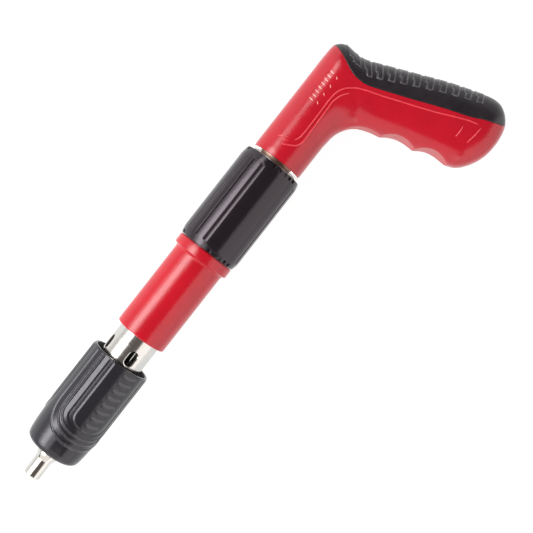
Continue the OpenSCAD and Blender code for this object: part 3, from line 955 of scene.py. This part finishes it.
def rounded_path(points):
    """A path through the points with rounded corners, at even spacing."""
    path = [np.array(points[0], float)]
    for a, b, c in zip(points, points[1:], points[2:]):
        a, b, c = (np.array(p, float) for p in (a, b, c))
        cut = min(PATH_CORNER, 0.45 * np.linalg.norm(b - a), 0.45 * np.linalg.norm(c - b))
        p = b + (a - b) / np.linalg.norm(a - b) * cut
        r = b + (c - b) / np.linalg.norm(c - b) * cut
        for t in (0, 0.25, 0.5, 0.75, 1):
            path.append((1 - t) ** 2 * p + 2 * t * (1 - t) * b + t * t * r)
    path.append(np.array(points[-1], float))
    path = np.array(path)
    length = np.concatenate([[0], np.cumsum(np.linalg.norm(np.diff(path, axis=0), axis=1))])
    even = np.linspace(0, length[-1], max(3, int(length[-1] / PATH_SPACING)))
    return np.stack([np.interp(even, length, path[:, k]) for k in (0, 1)], axis=1)


def surface_tree(shell):
    """A search tree over a shell's surface, for dropping a path onto it."""
    verts = [tuple(v.co) for v in shell.data.vertices]
    faces = [tuple(p.vertices) for p in shell.data.polygons]
    return BVHTree.FromPolygons(verts, faces)


def drop(tree, u, s, side):
    """The shell's outer point and normal over (u, s)."""
    hit, normal, _, _ = tree.ray_cast(Vector((-s * MM, u * MM, side * 0.05)), Vector((0, 0, -side)))
    if normal.z * side < 0:
        normal = -normal
    return hit, normal


def raised_line(bm, tree, points, side, half_width, height):
    """Add a low rounded bead along a path on the shell, with tapered ends."""
    feet = [drop(tree, u, s, side) for u, s in rounded_path(points)]
    count = len(feet)
    rings = []
    for i, (hit, normal) in enumerate(feet):
        ahead = feet[min(i + 1, count - 1)][0] - feet[max(i - 1, 0)][0]
        across = ahead.cross(normal).normalized()
        taper = min(1, (i + 0.6) / 3, (count - 0.4 - i) / 3)
        ring = []
        for k in range(BEAD_SIDES):
            turn = 2 * math.pi * k / BEAD_SIDES
            point = hit + across * math.cos(turn) * half_width * taper * MM
            point += normal * (math.sin(turn) * height * taper - BEAD_SINK) * MM
            ring.append(bm.verts.new(point))
        rings.append(ring)
    bm.faces.new(rings[0])
    bridge(bm, rings)
    bm.faces.new(rings[-1])


def build_lines(shell, side, name):
    """The raised pinstripes, painted a lighter red as a painted highlight, and the bars and ticks, painted
    pale as painted glints, on one flank.
    """
    tree = surface_tree(shell)
    bm = bmesh.new()
    for points in FLANK_LINES:
        raised_line(bm, tree, points, side, LINE_HALF_WIDTH, LINE_HEIGHT)
    pinstripe_faces = len(bm.faces)
    for points in BARS:
        raised_line(bm, tree, points, side, BAR_HALF_WIDTH, BAR_HEIGHT)
    for points in TICKS:
        raised_line(bm, tree, points, side, TICK_HALF_WIDTH, BAR_HEIGHT)
    mesh = mesh_from(bm, name, 50)
    lines = dress(link(name, mesh), HIGHLIGHT_LINE_RED, "handle")
    # The bars and ticks take the pale red, as painted glints.
    further_material(lines, GLINT_PALE_RED, [face.index >= pinstripe_faces for face in mesh.polygons])


# ---------------------------------------------------------------- screws

SCREW_POINTS = ((25, 313), (45, 325), (68, 334), (90, 343))
SCREW_TURNS = 48
# The screw's outline from behind its tip to its head's face, as (r, z).
SCREW_TIP_Z = 11.0
SCREW_PROFILE = [
    (1.0, 10.2), (1.55, 8.6), (1.68, 7.6), (1.68, -10), (3.45, -10), (3.6, -10.2), (3.6, -11.4),
    (3.3, -12.1), (2.6, -12.6), (1.9, -12.8),
]
RECESS_TOP_Z = -12.85
RECESS_FLOOR_Z = -11.3


def screw_loop(bm, centre, radii, z):
    """A loop of vertices round a screw's axis, with a radius for each of them."""
    u, s = centre
    turn = 2 * np.pi * np.arange(SCREW_TURNS) / SCREW_TURNS
    x, y = -(s + radii * np.cos(turn)) * MM, (u + radii * np.sin(turn)) * MM
    return [bm.verts.new((x[k], y[k], z * MM)) for k in range(SCREW_TURNS)]


def build_screws():
    """Four pan-head screws with cross recesses, under the right flank."""
    bm = bmesh.new()
    turn = 2 * np.pi * np.arange(SCREW_TURNS) / SCREW_TURNS
    cross = 0.55 + 1.15 * np.abs(np.cos(2 * turn)) ** 6
    for u, s in SCREW_POINTS:
        loops = [screw_loop(bm, (u, s), r, z) for r, z in SCREW_PROFILE]
        loops.append(screw_loop(bm, (u, s), cross, RECESS_TOP_Z))
        loops.append(screw_loop(bm, (u, s), 0.7 * cross, RECESS_FLOOR_Z))
        bridge(bm, loops)
        bm.faces.new(loops[-1])
        tip = bm.verts.new((-s * MM, u * MM, SCREW_TIP_Z * MM))
        for k in range(SCREW_TURNS):
            bm.faces.new((tip, loops[0][k], loops[0][(k + 1) % SCREW_TURNS]))
    mesh = mesh_from(bm, "handle_screws_turned", 35)
    dress(link("handle_screws_turned", mesh), STEEL, "handle", "handle_screws")


# ---------------------------------------------------------------- camera, floor and lights

# The camera looks straight down on the tool from 585 mm above its axis, turned so that the
# nose points to the lower left. The lens and the sensor's width are in millimetres.
CAMERA_AT = (-0.1951, 0.0359, 0.585)
CAMERA_RIGHT = (-0.6163, 0.7875, 0)
CAMERA_UP = (-0.7875, -0.6163, 0)
CAMERA_LENS = 62.5
CAMERA_SENSOR = 36
FLOOR_Z = round(cad_box[0][2], 4) - 0.1 * MM
FLOOR_HALF = 14.0

STRIP_WHITE = (1.0, 0.985, 0.98)
WARM = (1.0, 0.95, 0.93)
PINKISH = (1.0, 0.98, 0.98)
COOL = (0.97, 0.95, 1.0)
# Strips 1 m from the barrel and along it: tilt from +Z toward -Y and half width in degrees,
# radiance, and the x of both ends.
STRIPS = {
    "strip_core": (39.5, 11.5, 8.4, -0.30, 0.75),
    "strip_near": (23.5, 4.5, 2.6, -0.30, 0.75),
    "strip_far": (56.5, 5.5, 2.8, -0.30, 0.75),
    "strip_front": (13.0, 6.0, 2.6, 0.27, 0.75),
    "strip_rear": (39.5, 11.5, 6.5, -0.37, -0.30),
    "strip_tail": (42.5, 8.0, 6.5, -0.85, -0.48),
}
# Upright cards round the tool: centre, the point it faces, length and height, radiance, colour.
CARDS = {
    "card_right": ((-0.565, 0.87, 0.57), (-0.565, 0.0, 0.57), (1.85, 1.14), 1.5, WARM),
    "card_right_front": ((0.735, 0.87, 0.315), (0.735, 0.0, 0.315), (0.75, 0.63), 1.5, WARM),
    "card_rear": ((-1.10, -0.10, 0.25), (0.0, -0.10, 0.25), (1.6, 0.5), 0.6, COOL),
    "card_front": ((0.78, 0.10, 0.66), (-0.19, 0.10, 0.66), (1.5, 1.32), 1.15, WARM),
    "card_left": ((0.365, -1.15, 0.36), (0.365, 0.0, 0.36), (1.49, 0.72), 0.8, PINKISH),
    "card_left_rear": ((-0.935, -1.15, 0.36), (-0.935, 0.0, 0.36), (1.11, 0.72), 1.15, PINKISH),
}


def stand(at, right, up, back):
    """The matrix of an object at a point, with its own X, Y and Z along the three directions."""
    return Matrix.Translation(at) @ Matrix((right, up, back)).transposed().to_4x4()


def build_camera():
    """The scene's camera, with its view along its own -Z."""
    data = bpy.data.cameras.new("camera")
    data.lens = CAMERA_LENS
    data.sensor_width = CAMERA_SENSOR
    data.clip_start = 0.01
    camera = link("camera", data)
    right, up = Vector(CAMERA_RIGHT), Vector(CAMERA_UP)
    camera.matrix_world = stand(CAMERA_AT, right, up, right.cross(up))
    bpy.context.scene.camera = camera


def area_light(name, centre, target, size, radiance, colour):
    """A rectangular soft light facing target, with its first side level."""
    data = bpy.data.lights.new(name, "AREA")
    data.shape = "RECTANGLE"
    data.size, data.size_y = size
    data.energy = radiance * math.pi * size[0] * size[1]
    data.color = colour
    lamp = link(name, data)
    back = (Vector(centre) - Vector(target)).normalized()
    along = Vector((1, 0, 0)) if abs(back.x) < 0.9 else Vector((0, 1, 0))
    lamp.matrix_world = stand(centre, along, back.cross(along).normalized(), back)
    lamp.visible_camera = False


def build_lights():
    """The strips over the barrel and the cards round it, shown without tone mapping."""
    for name, (tilt, half_width, radiance, start, end) in STRIPS.items():
        middle = Vector(((start + end) / 2, 0.0, 0.0))
        turn = math.radians(tilt)
        centre = middle + Vector((0, -math.sin(turn), math.cos(turn)))
        size = (end - start, 2 * math.tan(math.radians(half_width)))
        area_light(name, centre, middle, size, radiance, STRIP_WHITE)
    for name, card in CARDS.items():
        area_light(name, *card)
    bpy.context.scene.view_settings.view_transform = "Standard"


def build_floor():
    """A square of pale paper under the tool, lit from within so that shadows stay faint."""
    n = Nodes("floor_paper")
    n.colour(n.noise(scale=3, detail=2), [(0.3, (0.13, 0.13, 0.13)), (0.7, (0.15, 0.15, 0.15))])
    n.set(Roughness=0.9, Emission_Color=(1, 1, 1, 1), Emission_Strength=0.93)
    corners = [(x * FLOOR_HALF, y * FLOOR_HALF, FLOOR_Z) for x, y in ((-1, -1), (1, -1), (1, 1), (-1, 1))]
    mesh = bpy.data.meshes.new("floor")
    mesh.from_pydata(corners, [], [(0, 1, 2, 3)])
    mesh.materials.append(n.material)
    link("floor", mesh)


def build_world():
    """A dim warm room round the tool, with a pale wall where the camera looks past the floor."""
    world = bpy.data.worlds.new("studio")
    world.use_nodes = True
    tree = world.node_tree
    room = tree.nodes["Background"]
    room.inputs["Color"].default_value = (1.0, 0.86, 0.80, 1)
    room.inputs["Strength"].default_value = 0.16
    wall = tree.nodes.new("ShaderNodeBackground")
    wall.inputs["Color"].default_value = (0.86, 0.86, 0.86, 1)
    seen = tree.nodes.new("ShaderNodeLightPath")
    mix = tree.nodes.new("ShaderNodeMixShader")
    tree.links.new(seen.outputs["Is Camera Ray"], mix.inputs["Fac"])
    tree.links.new(room.outputs["Background"], mix.inputs[1])
    tree.links.new(wall.outputs["Background"], mix.inputs[2])
    tree.links.new(mix.outputs["Shader"], tree.nodes["World Output"].inputs["Surface"])
    bpy.context.scene.world = world


# ---------------------------------------------------------------- assembly

CAD_MATERIALS = {
    STEEL: ("nose_plug", "carrier_sleeve", "pin_stop_ring", "hammer", "spring_washer", "core_tube",
            "stop_pin", "spring_guide", "rear_plug"),
    NICKEL: ("drive_pin", "latch_balls"),
    RUBBER: ("buffer_washers", "cover_o_ring", "pin_ring", "sleeve_o_rings", "travel_stop_ring"),
    NYLON: ("hammer_rings", "front_bush", "lock_ring"),
}


def paint_cad():
    """Give the CAD nodes that show as they are their materials."""
    for material, nodes in CAD_MATERIALS.items():
        for node in nodes:
            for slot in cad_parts[node].material_slots:
                slot.material = material


build_camera()
build_floor()
build_lights()
build_world()
paint_cad()
build_front_cover()
build_lock_sleeve()
build_outer_tube()
build_collar_ring()
build_nose_tube()
build_nozzle()
coil("main_spring", r_mid=7.8, wire=2.4, front_seat=215, rear_seat=312, coils=19)
coil("return_spring", r_mid=14.45, wire=1.6, front_seat=128, rear_seat=162, coils=8)
left_shell = build_shell(1, "handle_shell_left")
right_shell = build_shell(-1, "handle_shell_right")
build_pad()
build_lines(left_shell, 1, "flank_lines_left")
build_lines(right_shell, -1, "flank_lines_right")
build_screws()
